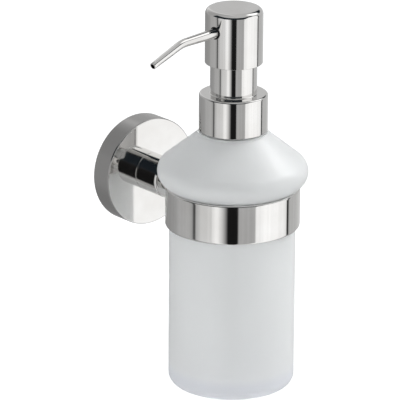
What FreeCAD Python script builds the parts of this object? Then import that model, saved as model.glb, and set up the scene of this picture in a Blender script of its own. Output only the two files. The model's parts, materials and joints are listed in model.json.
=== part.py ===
import FreeCAD, Part
import math
import os
import re
import Sketcher

# Wall mounted soap dispenser. A round wall rosette carries a short arm and a ring, a glass bottle hangs
# by its shoulder in the ring, and a steel clad lotion pump with a thin spout is screwed on the bottle.
# The origin is the centre of the rosette's back, on the wall. +Y points into the wall and +Z up.
# Turned pieces are revolved from half a section, given as (radius, height) pairs.

sizes = [
    # the holder, measured out from the wall
    ("rosetteRadius", 27.0, "round cover on the wall"),
    ("rosetteDepth", 11.4, "wall to the cover's face"),
    ("rosetteWall", 2.4, "rim of the cover"),
    ("rosetteFace", 2.5, "face of the cover"),
    ("rosetteEdge", 0.7, "rounding of the cover's front edge"),
    ("bracketGap", 0.2, "bracket to the inside of the cover"),
    ("bracketDepth", 7.4, "thickness of the wall bracket"),
    ("bracketBore", 7.5, "radius of the hole that clears the bolt's head"),
    ("wallHoleSpacing", 30.0, "between the two wall screws"),
    ("wallHole", 4.6, "hole for a wall screw"),
    ("wallHead", 9.2, "countersink for a wall screw"),
    ("grubDepth", 4.2, "wall to the grub screw's axis"),
    ("grubRadius", 2.0, "M4 grub screw"),
    ("grubSunk", 0.2, "grub screw below the cover's rim"),
    ("grubSocket", 2.0, "hexagon across its flats"),
    ("grubTip", 0.4, "radius of the cone's blunt end"),
    ("grooveDepth", 1.7, "groove in the bracket for the grub screw"),
    ("grooveFloor", 0.6, "half width at the groove's floor"),
    ("grooveMouth", 2.3, "half width at the groove's mouth"),
    ("boltRadius", 2.45, "M5 bolt through the cover and the post"),
    ("boltSlack", 0.15, "bolt to its clearance holes"),
    ("threadSlack", 0.05, "a thread to its plain hole"),
    ("boltHead", 4.75, "radius of the bolt's button head"),
    ("boltHeadHeight", 2.75, "height of the button head"),
    ("boltLength", 30.0, "length under the head"),
    ("boltSocket", 3.0, "hexagon across its flats"),
    ("boltCrown", 1.4, "rounding of the button head"),
    ("socketDepth", 1.6, "depth of the hexagon sockets"),
    ("armRadius", 9.55, "thick post on the cover"),
    ("armLength", 15.6, "length of the thick post"),
    ("armEdge", 1.5, "rounding of the post's end"),
    ("neckRadius", 5.8, "thin neck between the post and the ring"),
    ("neckLength", 15.0, "post to the ring"),
    ("spigotRadius", 4.0, "neck's spigot in the post"),
    ("spigotLength", 4.0, "neck's spigot in the post"),
    ("neckBore", 17.0, "tapped hole in the neck"),
    ("ringHeight", 20.0, "band that carries the bottle"),
    ("ringWall", 1.6, "thickness of the band"),
    ("ringGap", 0.4, "bottle to the band"),
    ("ringEdge", 1.1, "outer rounding of the band"),
    ("ringInnerEdge", 0.3, "inner rounding of the band"),
    # the bottle, its heights counted from the top of the ring
    ("bottleRadius", 30.7, "straight part of the bottle"),
    ("bottleDrop", 101.6, "ring's top to the bottle's foot"),
    ("bottleCorner", 5.5, "rounding of the foot"),
    ("seatGap", 0.05, "shoulder above the ring"),
    ("shoulderReach", 14.2, "shoulder's sharp corner past the straight part"),
    ("shoulderLift", 4.1, "shoulder's sharp corner above the ring"),
    ("shoulderRound", 7.4, "rounding of the shoulder"),
    ("shoulderLap", 0.35, "shoulder's flat top past the collar"),
    ("shoulderSlope", 39.132494, "slope of the shoulder, in degrees"),
    ("shoulderFlare", 0.8, "upright step under the collar"),
    ("glassWall", 3.0, "wall of the bottle"),
    ("cornerAcross", 2.12, "walls that the hollow's shoulder corner lies inside the outer one"),
    ("cornerUp", 0.43, "walls that it lies above the outer one"),
    ("seatUp", 0.75, "walls that the hollow widens above the seat"),
    ("glassBase", 8.5, "floor of the bottle"),
    ("glassFillet", 4.5, "rounding inside the foot"),
    ("finishWall", 2.4, "wall of the neck"),
    ("finishHeight", 14.8, "height of the neck"),
    ("finishLead", 1.6, "start of the neck's hole below the foot of the neck"),
    ("threadRadius", 13.7, "28 mm screw thread on the neck"),
    ("threadDepth", 1.1, "height of the thread"),
    ("threadWidth", 1.8, "one turn of the thread"),
    ("threadPitch", 4.2, "from one turn to the next"),
    ("threadStart", 5.4, "foot of the neck to the first turn"),
    # the collar and what it clamps
    ("insertWall", 1.8, "side wall of the closure's lining"),
    ("collarGap", 0.6, "shoulder to the collar's rim"),
    ("collarEdge", 1.2, "rounding of the collar's top"),
    ("coveRadius", 2.0, "hollow rounding between the collar and its neck"),
    ("sheetWall", 0.8, "thickness of the drawn steel"),
    ("sheetEdge", 0.3, "rounding of a sheet's cut edge"),
    ("sleeveSlack", 0.75, "narrow neck of the collar to the stem's guide"),
    ("sleeveLap", 1.5, "how far the collar's neck reaches into the head"),
    ("insertGap", 0.05, "plastic linings to their steel shells"),
    ("insertTop", 1.3, "top wall of the closure's lining"),
    ("insertSlack", 0.3, "lining to the neck's thread and to the pump's hub"),
    ("turnGap", 0.1, "faces that turn on each other"),
    ("gasketHeight", 1.0, "washer on the neck"),
    ("gasketRim", 0.2, "washer inside the housing's flange"),
    ("flangeInset", 0.9, "flange of the pump's housing inside the thread"),
    ("flangeHeight", 1.2, "flange of the pump's housing"),
    # the pump, counted down from the flange
    ("pumpBore", 6.0, "bore of the pump's barrel"),
    ("barrelWall", 1.4, "wall of the barrel"),
    ("barrelDepth", 36.4, "flange to the floor of the bore"),
    ("barrelFloor", 2.0, "straight barrel below the floor of the bore"),
    ("hubWall", 2.0, "wall of the hub above the flange"),
    ("hubRise", 2.2, "hub above the collar"),
    ("nozzleRadius", 4.4, "lower socket for the dip tube"),
    ("nozzleLength", 8.0, "length of that socket"),
    ("nozzleShoulder", 0.5, "end of the barrel's taper below the ball's chamber"),
    ("seatHole", 1.7, "radius of the inlet hole"),
    ("seatHeight", 2.0, "length of the inlet hole"),
    ("ballRoom", 5.5, "height of the inlet ball's chamber"),
    ("inletBall", 2.5, "radius of the inlet ball"),
    ("ballSlack", 0.5, "a ball to the wall of its chamber"),
    ("ballGap", 0.05, "a ball above its seat"),
    ("cageHeight", 1.6, "disc over the inlet ball"),
    ("cageBoss", 3.8, "boss that centres the spring"),
    ("cageBossHeight", 1.4, "height of that boss"),
    ("cageHole", 1.0, "radius of a flow hole"),
    ("cageHoleCircle", 2.2, "radius of the circle of flow holes"),
    ("springRadius", 4.9, "middle of the wire"),
    ("springWire", 0.4, "radius of the wire"),
    ("springTurns", 9.0, "turns of the spring"),
    ("springLength", 22.4, "spring at rest"),
    ("pistonSlack", 0.06, "piston to the bore"),
    ("pistonHeight", 6.5, "height of the piston"),
    ("pistonLip", 1.2, "height of each sealing lip"),
    ("pistonWaist", 0.7, "depth of the waist between the lips"),
    ("pistonFloor", 1.6, "floor of the piston"),
    ("pistonBoss", 1.4, "boss under the piston"),
    ("stemRadius", 3.5, "hollow stem"),
    ("stemBore", 1.8, "bore of the stem"),
    ("stemSlack", 0.08, "stem to its guide"),
    ("pressSlack", 0.03, "stem to the parts pushed on it"),
    ("outletBall", 2.1, "radius of the outlet ball"),
    ("outletRoom", 5.0, "height of the outlet ball's chamber"),
    ("guideWall", 1.7, "wall of the guide on the hub"),
    ("guideHeight", 8.2, "height of the guide's cap"),
    ("guideEdge", 0.6, "rounding of the guide's top"),
    ("tubeRadius", 3.0, "dip tube"),
    ("tubeWall", 0.9, "wall of the dip tube"),
    ("tubeLift", 3.5, "dip tube above the bottle's floor"),
    # the head and the spout
    ("stroke", 12.0, "travel of the head"),
    ("headStop", 3.3, "collar to the head when it is pressed"),
    ("headSlack", 1.85, "head to the collar's narrow neck"),
    ("headEdge", 3.1, "rounding of the head's top"),
    ("socketRadius", 5.6, "head lining's socket on the stem"),
    ("liningLap", 0.8, "head lining above the collar's neck when pressed"),
    ("liningStem", 1.4, "top of the stem below the lining's underside"),
    ("channelRadius", 1.3, "channel in the head's lining"),
    ("spoutDrop", 9.9, "top of the head to the spout's axis"),
    ("spoutRise", 3.2, "head lining's underside to the spout's axis"),
    ("spoutTurn", 189.0, "heading of the spout, from +X"),
    ("spoutInside", 5.0, "axis of the head to the spout's inner end"),
    ("spoutRun", 34.0, "axis of the head to the start of the bend"),
    ("spoutBend", 18.0, "downward bend, in degrees"),
    ("spoutSweep", 22.0, "radius of the bend"),
    ("spoutEnd", 17.7, "straight end after the bend"),
    ("spoutRoot", 2.6, "radius of the spout at the head"),
    ("spoutTip", 1.65, "radius of the spout at its mouth"),
    ("spoutWallRoot", 0.9, "wall of the spout at the head"),
    ("spoutWallTip", 0.45, "wall of the spout at its mouth"),
    ("spoutSlack", 0.04, "spout to its seal and its socket"),
    ("sealWidth", 0.45, "thickness of the rubber seal round the spout"),
    ("sealLength", 1.6, "length of the seal"),
    ("sealSunk", 0.15, "seal below the head's surface"),
]

doc = FreeCAD.newDocument("SoapDispenser")
sheet = doc.addObject("Spreadsheet::Sheet", "Sizes")
for row, (alias, number, note) in enumerate(sizes, start=1):
    sheet.set(f"A{row}", note)
    sheet.set(f"B{row}", str(number))
    sheet.setAlias(f"B{row}", alias)
doc.recompute()
aliases = {alias for alias, number, note in sizes}


def bound(expression):
    """The expression with each size's alias written as the sheet's cell."""
    return re.sub(r"[A-Za-z]\w*", lambda word: "Sizes." * (word[0] in aliases) + word[0], expression)


def size(expression):
    """The expression's number now."""
    return float(sheet.evalExpression(bound(expression)))


# Places that several pieces share, each worked out from the sizes.
coverInside = "(rosetteDepth - rosetteFace)"
bracketRadius = "(rosetteRadius - rosetteWall - bracketGap)"
grooveRadius = f"({bracketRadius} - grooveDepth)"
postEnd = "(rosetteDepth + armLength)"
ringBore = "(bottleRadius + ringGap)"
ringRadius = f"({ringBore} + ringWall)"
reach = f"({postEnd} + neckLength + {ringRadius})"
ringTop = "(ringHeight / 2)"
bottleFoot = f"({ringTop} - bottleDrop)"
bottleFloor = f"({bottleFoot} + glassBase)"
finishRadius = "(threadRadius - threadDepth)"
finishBore = f"({finishRadius} - finishWall)"
flangeRadius = "(threadRadius - flangeInset)"
collarRadius = "(threadRadius + insertSlack + insertWall + insertGap + sheetWall)"
shoulderTop = f"({collarRadius} + shoulderLap)"
barrelRadius = "(pumpBore + barrelWall)"
hubRadius = "(pumpBore + hubWall)"
guideRadius = f"({hubRadius} + turnGap + guideWall)"
sleeveRadius = f"({guideRadius} + sleeveSlack + sheetWall)"
headRadius = f"({sleeveRadius} + headSlack + sheetWall)"
cove = f"min(coveRadius; {collarRadius} - collarEdge - {sleeveRadius} - sheetEdge)"
shoulderCorner = "(bottleRadius + shoulderReach)"
shoulderRise = f"(({shoulderCorner} - {shoulderTop}) * tan(shoulderSlope))"
finishFoot = f"({ringTop} + shoulderLift + {shoulderRise} + shoulderFlare)"
finishTop = f"({finishFoot} + finishHeight)"
flangeFoot = f"({finishTop} + gasketHeight)"
flangeTop = f"({flangeFoot} + flangeHeight)"
collarFoot = f"({finishFoot} + collarGap)"
collarInside = f"({flangeTop} + turnGap + insertTop)"
collarTop = f"({collarInside} + sheetWall)"
hubTop = f"({collarTop} + hubRise)"
headFoot = f"({collarTop} + stroke + headStop)"
sleeveTop = f"({headFoot} + sleeveLap)"
liningFoot = f"({sleeveTop} + stroke + liningLap)"
spoutHeight = f"({liningFoot} + spoutRise)"
headTop = f"({spoutHeight} + spoutDrop)"
boreFloor = f"({flangeFoot} - barrelDepth)"
chamberFloor = f"({boreFloor} - ballRoom)"
tubeStop = f"({chamberFloor} - seatHeight)"
nozzleFoot = f"({tubeStop} - nozzleLength)"
cageTop = f"({boreFloor} + cageHeight)"
pistonFoot = f"({cageTop} + springLength)"
pistonTop = f"({pistonFoot} + pistonHeight)"
stemFoot = f"({pistonFoot} + pistonFloor)"
guideFoot = f"({collarInside} + turnGap)"
guideTop = f"({guideFoot} + guideHeight)"
socketFoot = f"({guideTop} + stroke + turnGap * 2)"
stemTop = f"({liningFoot} - liningStem)"
outletSeat = f"({stemTop} - outletRoom)"
headInside = f"({headRadius} - sheetWall)"
liningRadius = f"({headInside} - insertGap)"
liningTop = f"({headTop} - sheetWall - insertGap)"


def newSketch(body, name, plane, offset=None):
    """A sketch on one of the body's own origin planes, or a distance off it along its normal."""
    sketch = body.newObject("Sketcher::SketchObject", name)
    sketch.AttachmentSupport = [(item, "") for item in body.Origin.OriginFeatures if item.Role == plane]
    sketch.MapMode = "FlatFace"
    if offset:
        sketch.setExpression("AttachmentOffset.Base.z", bound(offset))
    return sketch


def pin(sketch, geometry, point, across, up):
    """Fix a point of the sketch at two expressions."""
    for kind, axis, expression in (("DistanceX", -2, across), ("DistanceY", -1, up)):
        if expression == "0":
            sketch.addConstraint(Sketcher.Constraint("PointOnObject", geometry, point, axis))
            continue
        rule = Sketcher.Constraint(kind, -1, 1, geometry, point, size(expression))
        number = sketch.addConstraint(rule)
        sketch.setExpression(f"Constraints[{number}]", bound(expression))


def drawOutline(sketch, outline):
    """A closed outline of straight lines through points given as pairs of expressions."""
    spots = [FreeCAD.Vector(size(across), size(up), 0) for across, up in outline]
    count = len(outline)
    for number in range(count):
        sketch.addGeometry(Part.LineSegment(spots[number], spots[(number + 1) % count]), False)
    for number in range(count):
        sketch.addConstraint(Sketcher.Constraint("Coincident", number, 2, (number + 1) % count, 1))
    for number, (across, up) in enumerate(outline):
        pin(sketch, number, 1, across, up)


def drawCircle(sketch, across, up, radius):
    """A circle whose centre and radius are expressions."""
    centre = FreeCAD.Vector(size(across), size(up), 0)
    number = sketch.addGeometry(Part.Circle(centre, FreeCAD.Vector(0, 0, 1), size(radius)), False)
    pin(sketch, number, 3, across, up)
    rule = sketch.addConstraint(Sketcher.Constraint("Radius", number, size(radius)))
    sketch.setExpression(f"Constraints[{rule}]", bound(radius))


def place(piece, x="0", y="0", z="0", turn="0"):
    """Put a piece at its place, turned about Z."""
    piece.Placement = FreeCAD.Placement(FreeCAD.Vector(0, 0, 0), FreeCAD.Rotation(FreeCAD.Vector(0, 0, 1), 1))
    for axis, expression in (("x", x), ("y", y), ("z", z)):
        piece.setExpression(f"Placement.Base.{axis}", bound(expression))
    piece.setExpression("Placement.Rotation.Angle", bound(turn))


def turned(label, outline, plane="XZ_Plane"):
    """A body revolved about Z (section in XZ) or about Y (section in XY)."""
    body = doc.addObject("PartDesign::Body", label)
    sketch = newSketch(body, label + "_section", plane)
    drawOutline(sketch, outline)
    spin = body.newObject("PartDesign::Revolution", label + "_turned")
    spin.Profile = sketch
    spin.ReferenceAxis = (sketch, ["V_Axis"])
    spin.Angle = 360
    doc.recompute()
    return body


def ringEdges(shape, spots, axis):
    """The names of the shape's round edges that pass through (radius, height) spots about an axis."""
    names = []
    for number, edge in enumerate(shape.Edges, start=1):
        if not isinstance(edge.Curve, Part.Circle):
            continue
        height = edge.Curve.Center.z if axis == "z" else edge.Curve.Center.y
        for radius, level in spots:
            if abs(edge.Curve.Radius - size(radius)) < 1e-4 and abs(height - size(level)) < 1e-4:
                names.append(f"Edge{number}")
    return names


def rounded(body, radius, spots, axis="z", kind="Fillet"):
    """Round, or chamfer, the round edges at the given spots of the body's last feature."""
    base = body.Tip
    names = ringEdges(base.Shape, spots, axis)
    if len(names) < len(spots):
        raise RuntimeError(f"{body.Label}: an edge to round is missing")
    feature = body.newObject(f"PartDesign::{kind}", body.Label + "_" + kind.lower())
    feature.Base = (base, names)
    feature.setExpression("Radius" if kind == "Fillet" else "Size", bound(radius))
    doc.recompute()


def cut(body, sketch, depth=None, outward=False, both=False):
    """Pocket the sketch: against its normal or, outward, along it; right through without a depth."""
    before = body.Shape.Volume
    pocket = body.newObject("PartDesign::Pocket", sketch.Name + "_cut")
    pocket.Profile = sketch
    pocket.Reversed = outward
    pocket.Midplane = both
    if depth:
        pocket.setExpression("Length", bound(depth))
    else:
        pocket.Type = "ThroughAll"
    doc.recompute()
    if body.Shape.Volume >= before:
        raise RuntimeError(f"{body.Label}: a pocket cut nothing")


def hexagon(across):
    """The six corners of a hexagon, from its size across the flats."""
    corner = 0.5 / math.cos(math.pi / 6)
    turns = [math.pi / 3 * step for step in range(6)]
    return [(f"{across} * {corner * math.cos(a):.6f}", f"{across} * {corner * math.sin(a):.6f}") for a in turns]


# ---- holder ----

def makeBracket():
    body = turned("wall_bracket", [
        ("bracketBore", "0"), (bracketRadius, "0"),
        (bracketRadius, "-(grubDepth - grooveMouth)"), (grooveRadius, "-(grubDepth - grooveFloor)"),
        (grooveRadius, "-(grubDepth + grooveFloor)"), (bracketRadius, "-(grubDepth + grooveMouth)"),
        (bracketRadius, "-bracketDepth"), ("bracketBore", "-bracketDepth"),
    ], "XY_Plane")
    sketch = newSketch(body, "wall_bracket_holes", "XZ_Plane", "bracketDepth")
    for side in ("-", ""):
        drawCircle(sketch, f"{side}wallHoleSpacing / 2", "0", "wallHole / 2")
    doc.recompute()
    holes = body.newObject("PartDesign::Hole", "wall_bracket_drilled")
    holes.Profile = sketch
    holes.ThreadType = "None"
    holes.DepthType = "ThroughAll"
    holes.setExpression("Diameter", bound("wallHole"))
    holes.HoleCutType = "Countersink"
    holes.HoleCutCustomValues = True
    holes.HoleCutCountersinkAngle = 90
    holes.setExpression("HoleCutDiameter", bound("wallHead"))
    doc.recompute()
    return body


def makeCover():
    hole = "(boltRadius + boltSlack)"
    body = turned("rosette_cover", [
        ("rosetteRadius - rosetteWall", "0"), ("rosetteRadius", "0"), ("rosetteRadius", "-rosetteDepth"),
        (hole, "-rosetteDepth"), (hole, f"-{coverInside}"), ("rosetteRadius - rosetteWall", f"-{coverInside}"),
    ], "XY_Plane")
    rounded(body, "rosetteEdge", [("rosetteRadius", "-rosetteDepth")], "y")
    sketch = newSketch(body, "rosette_cover_grub_hole", "XY_Plane")
    drawCircle(sketch, "0", "-grubDepth", "grubRadius + threadSlack")
    cut(body, sketch)
    return body


def makeGrubScrew():
    tip = f"({grooveRadius} + threadSlack)"
    end = "(rosetteRadius - grubSunk)"
    body = turned("grub_screw", [
        ("0", f"-{tip}"), ("grubTip", f"-{tip}"), ("grubRadius", f"-({tip} + grooveDepth)"),
        ("grubRadius", f"-{end}"), ("0", f"-{end}"),
    ])
    sketch = newSketch(body, "grub_screw_socket", "XY_Plane", f"-{end}")
    drawOutline(sketch, hexagon("grubSocket"))
    cut(body, sketch, "socketDepth", outward=True)
    place(body, y="-grubDepth")
    return body


def makeBolt():
    head = f"({coverInside} - boltHeadHeight)"
    end = f"({coverInside} + boltLength)"
    body = turned("arm_bolt", [
        ("0", f"-{head}"), ("boltHead", f"-{head}"), ("boltHead", f"-{coverInside}"),
        ("boltRadius", f"-{coverInside}"), ("boltRadius", f"-{end}"), ("0", f"-{end}"),
    ], "XY_Plane")
    rounded(body, "boltCrown", [("boltHead", f"-{head}")], "y")
    sketch = newSketch(body, "arm_bolt_socket", "XZ_Plane", head)
    drawOutline(sketch, hexagon("boltSocket"))
    cut(body, sketch, "socketDepth", outward=True)
    return body


def makePost():
    hole = "(boltRadius + boltSlack)"
    socket = "(spigotRadius + boltSlack)"
    floor = f"({postEnd} - spigotLength - boltSlack)"
    body = turned("arm_post", [
        (hole, "-rosetteDepth"), ("armRadius", "-rosetteDepth"), ("armRadius", f"-{postEnd}"),
        (socket, f"-{postEnd}"), (socket, f"-{floor}"), (hole, f"-{floor}"),
    ], "XY_Plane")
    rounded(body, "armEdge", [("armRadius", f"-{postEnd}")], "y")
    return body


def makeNeck():
    start = f"({postEnd} - spigotLength)"
    end = f"({reach} - {ringRadius} + ringWall)"
    hole = "(boltRadius + threadSlack)"
    body = turned("arm_neck", [
        (hole, f"-{start}"), ("spigotRadius", f"-{start}"), ("spigotRadius", f"-{postEnd}"),
        ("neckRadius", f"-{postEnd}"), ("neckRadius", f"-{end}"), ("0", f"-{end}"),
        ("0", f"-({start} + neckBore)"), (hole, f"-({start} + neckBore)"),
    ], "XY_Plane")
    saddle = newSketch(body, "arm_neck_saddle", "XY_Plane")
    drawCircle(saddle, "0", f"-{reach}", ringRadius)
    cut(body, saddle, both=True)
    return body


def makeRing():
    body = turned("ring_band", [
        (ringBore, "-ringHeight / 2"), (ringRadius, "-ringHeight / 2"),
        (ringRadius, "ringHeight / 2"), (ringBore, "ringHeight / 2"),
    ])
    rounded(body, "ringEdge", [(ringRadius, "-ringHeight / 2"), (ringRadius, "ringHeight / 2")])
    rounded(body, "ringInnerEdge", [(ringBore, "-ringHeight / 2"), (ringBore, "ringHeight / 2")])
    place(body, y=f"-{reach}")
    return body


# ---- bottle ----

def makeBottle():
    seat = f"({ringTop} + seatGap)"
    thread = []
    for turn in range(2):
        low = f"({finishFoot} + threadStart + threadPitch * {turn})"
        thread += [(finishRadius, low), ("threadRadius", f"{low} + threadWidth / 3"),
                   ("threadRadius", f"{low} + threadWidth * 2 / 3"), (finishRadius, f"{low} + threadWidth")]
    body = turned("glass_bottle", [
        ("0", bottleFoot), ("bottleRadius", bottleFoot), ("bottleRadius", seat),
        (shoulderCorner, f"{ringTop} + shoulderLift"),
        (shoulderTop, f"{finishFoot} - shoulderFlare"), (shoulderTop, finishFoot),
        (finishRadius, finishFoot), *thread, (finishRadius, finishTop), ("0", finishTop),
    ])
    # The hollow follows the outside one wall further in. At the shoulder's sharp corner, where two walls
    # meet, that is more than one wall across and a little up; over the ring it is a little less than one up.
    inner = "bottleRadius - glassWall"
    corner = (f"{shoulderCorner} - glassWall * cornerAcross",
              f"{ringTop} + shoulderLift + glassWall * cornerUp")
    hollow = newSketch(body, "glass_bottle_hollow", "XZ_Plane")
    drawOutline(hollow, [
        ("0", bottleFloor), (inner, bottleFloor), (inner, f"{seat} + glassWall * seatUp"), corner,
        (finishBore, f"{finishFoot} - finishLead"), (finishBore, finishTop), ("0", finishTop),
    ])
    before = body.Shape.Volume
    groove = body.newObject("PartDesign::Groove", "glass_bottle_blown")
    groove.Profile = hollow
    groove.ReferenceAxis = (hollow, ["V_Axis"])
    groove.Angle = 360
    doc.recompute()
    if body.Shape.Volume >= before:
        raise RuntimeError("the bottle has no hollow")
    rounded(body, "shoulderRound - glassWall", [corner])
    rounded(body, "glassFillet", [(inner, bottleFloor)])
    rounded(body, "shoulderRound", [(shoulderCorner, f"{ringTop} + shoulderLift")])
    rounded(body, "bottleCorner", [("bottleRadius", bottleFoot)])
    place(body, y=f"-{reach}")
    return body


# ---- closure ----

def makeCollar():
    inner = f"({collarRadius} - sheetWall)"
    sleeve = f"({sleeveRadius} - sheetWall)"
    body = turned("collar_shell", [
        (inner, collarFoot), (collarRadius, collarFoot), (collarRadius, collarTop),
        (sleeveRadius, collarTop), (sleeveRadius, sleeveTop), (sleeve, sleeveTop),
        (sleeve, collarInside), (inner, collarInside),
    ])
    rounded(body, "collarEdge", [(collarRadius, collarTop)])
    rounded(body, cove, [(sleeveRadius, collarTop)])
    rounded(body, f"{cove} + sheetWall", [(sleeve, collarInside)])
    rounded(body, "collarEdge - sheetWall", [(inner, collarInside)])
    rounded(body, "sheetEdge", [(sleeveRadius, sleeveTop)])
    place(body, y=f"-{reach}")
    return body


def makeClosureInsert():
    outside = f"({collarRadius} - sheetWall - insertGap)"
    bore = "(threadRadius + insertSlack)"
    hole = f"({hubRadius} + insertSlack)"
    foot = f"({collarFoot} + collarGap)"
    body = turned("closure_insert", [
        (bore, foot), (outside, foot), (outside, collarInside), (hole, collarInside),
        (hole, f"{collarInside} - insertTop"), (bore, f"{collarInside} - insertTop"),
    ])
    rounded(body, "collarEdge - sheetWall", [(outside, collarInside)], kind="Chamfer")
    place(body, y=f"-{reach}")
    return body


# ---- pump ----

def makeGasket():
    inner = f"({finishBore} + gasketRim)"
    outer = f"({flangeRadius} - gasketRim)"
    body = turned("neck_gasket", [
        (inner, finishTop), (outer, finishTop), (outer, flangeFoot), (inner, flangeFoot),
    ])
    place(body, y=f"-{reach}")
    return body


def makeHousing():
    socket = "(tubeRadius + threadSlack)"
    chamber = "(inletBall + ballSlack)"
    body = turned("pump_housing", [
        ("pumpBore", hubTop), (hubRadius, hubTop), (hubRadius, flangeTop), (flangeRadius, flangeTop),
        (flangeRadius, flangeFoot), (barrelRadius, flangeFoot), (barrelRadius, f"{boreFloor} - barrelFloor"),
        ("nozzleRadius", f"{chamberFloor} - nozzleShoulder"), ("nozzleRadius", nozzleFoot), (socket, nozzleFoot),
        (socket, tubeStop), ("seatHole", tubeStop), ("seatHole", chamberFloor), (chamber, chamberFloor),
        (chamber, boreFloor), ("pumpBore", boreFloor),
    ])
    place(body, y=f"-{reach}")
    return body


def makeGuide():
    bore = "(stemRadius + stemSlack)"
    plug = "(pumpBore - pistonSlack)"
    skirt = f"({hubRadius} + turnGap)"
    roof = f"({hubTop} + turnGap)"
    stop = f"({pistonTop} + turnGap)"
    body = turned("stem_guide", [
        (bore, stop), (plug, stop), (plug, roof), (skirt, roof), (skirt, guideFoot),
        (guideRadius, guideFoot), (guideRadius, guideTop), (bore, guideTop),
    ])
    rounded(body, "guideEdge", [(guideRadius, guideTop)])
    place(body, y=f"-{reach}")
    return body


def makeCage():
    body = turned("ball_cage", [
        ("0", boreFloor), ("pumpBore - threadSlack", boreFloor), ("pumpBore - threadSlack", cageTop),
        ("cageBoss", cageTop), ("cageBoss", f"{cageTop} + cageBossHeight"), ("0", f"{cageTop} + cageBossHeight"),
    ])
    sketch = newSketch(body, "ball_cage_hole", "XY_Plane", f"{cageTop} + cageBossHeight")
    drawCircle(sketch, "cageHoleCircle", "0", "cageHole")
    cut(body, sketch)
    holes = body.newObject("PartDesign::PolarPattern", "ball_cage_holes")
    holes.Originals = [doc.getObject("ball_cage_hole_cut")]
    holes.Axis = (body.getObject("ball_cage_section"), ["V_Axis"])
    holes.Angle = 360
    holes.Occurrences = 4
    body.Tip = holes
    place(body, y=f"-{reach}")
    return body


def makeBall(label, radius, seat, hole):
    ball = doc.addObject("Part::Sphere", label)
    ball.setExpression("Radius", bound(radius))
    place(ball, y=f"-{reach}", z=f"{seat} + sqrt({radius} ^ 2 - {hole} ^ 2) + ballGap")
    return ball


def makeSpring():
    body = doc.addObject("PartDesign::Body", "piston_spring")
    wire = newSketch(body, "piston_spring_wire", "XZ_Plane")
    drawCircle(wire, "springRadius", f"{cageTop} + springWire + turnGap", "springWire")
    coil = body.newObject("PartDesign::AdditiveHelix", "piston_spring_coil")
    coil.Profile = wire
    coil.ReferenceAxis = (wire, ["V_Axis"])
    coil.Mode = "height-turns-angle"
    coil.setExpression("Height", bound("springLength - springWire * 2 - turnGap * 2"))
    coil.setExpression("Turns", bound("springTurns"))
    doc.recompute()
    place(body, y=f"-{reach}")
    return body


def makePiston():
    rim = "(pumpBore - pistonSlack)"
    waist = f"({rim} - pistonWaist)"
    bore = "(stemRadius + pressSlack)"
    boss = f"({pistonFoot} - pistonBoss)"
    body = turned("pump_piston", [
        ("stemBore", boss), ("cageBoss", boss), ("cageBoss", pistonFoot), (rim, pistonFoot),
        (rim, f"{pistonFoot} + pistonLip"), (waist, f"{pistonFoot} + pistonLip + pistonWaist"),
        (waist, f"{pistonTop} - pistonLip - pistonWaist"), (rim, f"{pistonTop} - pistonLip"),
        (rim, pistonTop), (bore, pistonTop), (bore, stemFoot), ("stemBore", stemFoot),
    ])
    place(body, y=f"-{reach}")
    return body


def makeStem():
    room = "(outletBall + ballSlack)"
    body = turned("pump_stem", [
        ("stemBore", stemFoot), ("stemRadius", stemFoot), ("stemRadius", stemTop), (room, stemTop),
        (room, outletSeat), ("stemBore", outletSeat),
    ])
    place(body, y=f"-{reach}")
    return body


def makeDipTube():
    bore = "(tubeRadius - tubeWall)"
    foot = f"({bottleFloor} + tubeLift)"
    body = turned("dip_tube", [
        (bore, foot), ("tubeRadius", foot), ("tubeRadius", f"{tubeStop} - turnGap"), (bore, f"{tubeStop} - turnGap"),
    ])
    place(body, y=f"-{reach}")
    return body


# ---- head and spout, drawn with the spout along +X and turned as a whole ----

def makeHeadShell():
    body = turned("head_shell", [
        (headInside, headFoot), (headRadius, headFoot), (headRadius, headTop), ("0", headTop),
        ("0", f"{headTop} - sheetWall"), (headInside, f"{headTop} - sheetWall"),
    ])
    rounded(body, "headEdge", [(headRadius, headTop)])
    rounded(body, "headEdge - sheetWall", [(headInside, f"{headTop} - sheetWall")])
    sketch = newSketch(body, "head_shell_hole", "YZ_Plane")
    drawCircle(sketch, "0", spoutHeight, "spoutRoot + spoutSlack * 2 + sealWidth")
    cut(body, sketch, outward=True)
    place(body, y=f"-{reach}", turn="spoutTurn")
    return body


def makeHeadLining():
    bore = "(stemRadius + pressSlack)"
    body = turned("head_lining", [
        (bore, socketFoot), ("socketRadius", socketFoot), ("socketRadius", liningFoot),
        (liningRadius, liningFoot), (liningRadius, liningTop), ("0", liningTop),
        ("0", spoutHeight), ("channelRadius", spoutHeight), ("channelRadius", stemTop), (bore, stemTop),
    ])
    rounded(body, "headEdge - sheetWall", [(liningRadius, liningTop)])
    bores = (("channel", "0", "channelRadius"), ("socket", "spoutInside", "spoutRoot + spoutSlack"),
             ("recess", f"{headRadius} - sealSunk - sealLength - insertGap",
              "spoutRoot + spoutSlack * 2 + sealWidth"))
    for name, start, radius in bores:
        sketch = newSketch(body, "head_lining_" + name, "YZ_Plane", start)
        drawCircle(sketch, "0", spoutHeight, radius)
        cut(body, sketch, outward=True)
    place(body, y=f"-{reach}", turn="spoutTurn")
    return body


leaveX = "(spoutRun + spoutSweep * sin(spoutBend))"
leaveZ = "(spoutSweep * cos(spoutBend) - spoutSweep)"
mouthX = f"({leaveX} + spoutEnd * cos(spoutBend))"
mouthZ = f"({leaveZ} - spoutEnd * sin(spoutBend))"


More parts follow.
